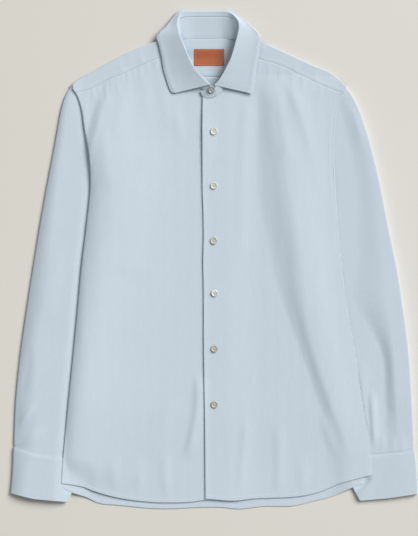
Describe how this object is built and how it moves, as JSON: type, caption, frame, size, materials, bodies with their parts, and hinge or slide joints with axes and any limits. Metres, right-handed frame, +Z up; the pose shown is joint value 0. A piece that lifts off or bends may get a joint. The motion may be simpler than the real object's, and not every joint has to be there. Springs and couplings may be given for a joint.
{
  "type": "corduroy shirt",
  "caption": "Long-sleeved fine corduroy shirt with a turned-down collar and buttoned front, laid flat on its back with the sleeves at its sides.",
  "frame": {"origin": "on the surface the shirt lies on, under the middle of its outline", "axes": "+X towards the wearer's left sleeve, +Y from the hem to the collar, +Z up from the surface, out of the shirt's front"},
  "size_m": [0.6382, 0.7814, 0.0312],
  "materials": {
    "corduroy": "light blue fine-wale corduroy",
    "label_tape": "matt woven tape",
    "pearl": "pearl"
  },
  "bodies": {
    "root": {"back_panel": "corduroy", "yoke": "corduroy", "front_right": "corduroy", "front_left": "corduroy", "sleeve_right": "corduroy", "sleeve_left": "corduroy", "cuff_right": "corduroy", "cuff_left": "corduroy", "collar_stand": "corduroy", "collar_leaf": "corduroy", "neck_label": "label_tape", "button_neck": "pearl", "button_front_1": "pearl", "button_front_2": "pearl", "button_front_3": "pearl", "button_front_4": "pearl", "button_front_5": "pearl", "button_front_6": "pearl"}
  },
  "joints": []
}
